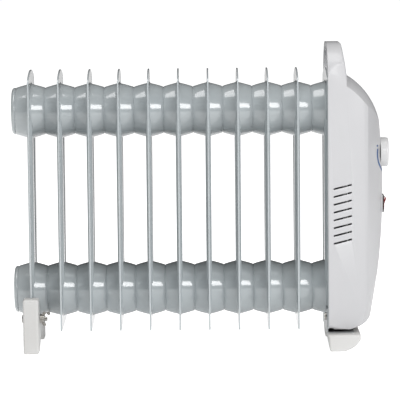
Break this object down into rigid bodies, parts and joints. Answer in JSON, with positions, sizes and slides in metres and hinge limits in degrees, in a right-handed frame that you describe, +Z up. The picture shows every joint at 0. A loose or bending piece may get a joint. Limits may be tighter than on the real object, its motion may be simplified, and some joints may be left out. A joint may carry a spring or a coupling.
{
  "type": "oil_filled_radiator",
  "caption": "Small oil filled electric radiator: pressed steel fins on two oil headers, a moulded control housing with a carrying handle, a temperature knob and a rocker switch, on two feet.",
  "frame": {"origin": "on the floor, under the middle of the heater's box", "axes": "+X along the oil headers towards the control housing, +Y across the fins, +Z up"},
  "size_m": [0.4466, 0.136, 0.361],
  "materials": {
    "radiator_paint": "gloss",
    "filler_steel": "satin",
    "oil": "gloss",
    "element_steel": "satin",
    "bead_ceramic": "matte",
    "gasket_rubber": "matte",
    "housing_plastic": "gloss",
    "foot_plastic": "satin",
    "bush_rubber": "matte",
    "plate_steel": "satin",
    "fastener_steel": "satin",
    "bakelite": "satin",
    "spindle_steel": "satin",
    "bimetal": "satin",
    "knob_plastic": "satin",
    "scale_print": "satin",
    "switch_black": "satin",
    "rocker_red": "gloss",
    "lamp_glass": "gloss",
    "tab_brass": "polished",
    "block_plastic": "matte",
    "wire_brown": "satin",
    "wire_red": "satin",
    "wire_blue": "satin",
    "wire_green": "satin"
  },
  "bodies": {
    "heater": {"back_plate": "plate_steel", "bimetal_blade": "bimetal", "collar_nut": "filler_steel", "control_cover": "housing_plastic", "cord_bush": "bush_rubber", "cover_screws": "fastener_steel", "cutout_clip": "plate_steel", "earth_lug": "tab_brass", "earth_screw": "fastener_steel", "element_beads": "bead_ceramic", "element_flange": "radiator_paint", "element_pins": "element_steel", "filler_plug": "filler_steel", "fin_01": "radiator_paint", "fin_02": "radiator_paint", "fin_03": "radiator_paint", "fin_04": "radiator_paint", "fin_05": "radiator_paint", "fin_06": "radiator_paint", "fin_07": "radiator_paint", "fin_08": "radiator_paint", "fin_09": "radiator_paint", "fin_10": "radiator_paint", "fin_11": "radiator_paint", "foot_bolts": "fastener_steel", "foot_bracket": "plate_steel", "foot_nuts": "fastener_steel", "foot_screws": "fastener_steel", "front_foot": "foot_plastic", "handle_back": "housing_plastic", "header_gaskets": "gasket_rubber", "heating_element": "element_steel", "lower_end_cap": "radiator_paint", "neon_lamp": "lamp_glass", "rear_foot": "foot_plastic", "rear_foot_bolts": "fastener_steel", "spade_tabs": "tab_brass", "stud_nut": "filler_steel", "switch_housing": "switch_black", "temperature_scale": "scale_print", "terminal_block": "block_plastic", "terminal_screws": "fastener_steel", "thermal_cutout": "bakelite", "thermal_oil": "oil", "thermostat_body": "bakelite", "thermostat_nut": "fastener_steel", "upper_end_blank": "radiator_paint", "upper_end_cap": "radiator_paint", "wire_earth": "wire_green", "wire_element": "wire_red", "wire_heat": "wire_brown", "wire_live": "wire_brown", "wire_neutral": "wire_blue", "wire_switched": "wire_brown"},
    "knob": {"temperature_knob": "knob_plastic", "thermostat_spindle": "spindle_steel"},
    "rocker": {"rocker_button": "rocker_red"},
    "near_wing_nut": {"wing_nut_near": "fastener_steel"},
    "far_wing_nut": {"wing_nut_far": "fastener_steel"}
  },
  "joints": [
    {"name": "knob_turn", "type": "hinge", "parent": "heater", "child": "knob", "pos_m": [0.21925, 0, 0.2295], "axis": [-1, 0, 0], "range_deg": [0, 270]},
    {"name": "rocker_press", "type": "hinge", "parent": "heater", "child": "rocker", "pos_m": [0.2162, 0, 0.1684], "axis": [0, -1, 0], "range_deg": [0, 22]},
    {"name": "near_nut_turn", "type": "hinge", "parent": "heater", "child": "near_wing_nut", "pos_m": [-0.18875, -0.043, 0.039], "axis": [1, 0, 0], "continuous": true},
    {"name": "far_nut_turn", "type": "hinge", "parent": "heater", "child": "far_wing_nut", "pos_m": [-0.18875, 0.043, 0.039], "axis": [1, 0, 0], "continuous": true}
  ]
}
